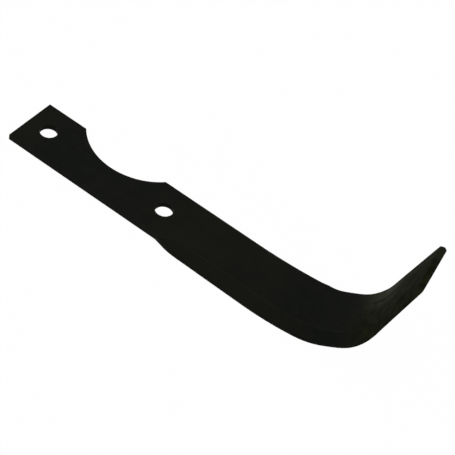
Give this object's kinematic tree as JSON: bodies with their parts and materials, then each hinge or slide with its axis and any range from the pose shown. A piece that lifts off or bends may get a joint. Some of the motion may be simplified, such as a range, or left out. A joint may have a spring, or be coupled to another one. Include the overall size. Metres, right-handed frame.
{
  "type": "rotary tiller blade",
  "caption": "Flat steel tiller blade with bolt holes and a half-moon hub notch, its swept end drawn out to a bevelled edge and bent up.",
  "frame": {"origin": "on the blade's outer face, midway between the centres of the two bolt holes", "axes": "+X along the bar from the bolted end to the tip, +Y towards the edge with the notch, +Z out of the inner face, the way the tip is bent"},
  "size_m": [0.3245, 0.0573, 0.0995],
  "materials": {
    "blackened_steel": "black, thin and satin, a little duller where the tip has been forged"
  },
  "bodies": {
    "root": {"tiller_blade": "blackened_steel"}
  },
  "joints": []
}
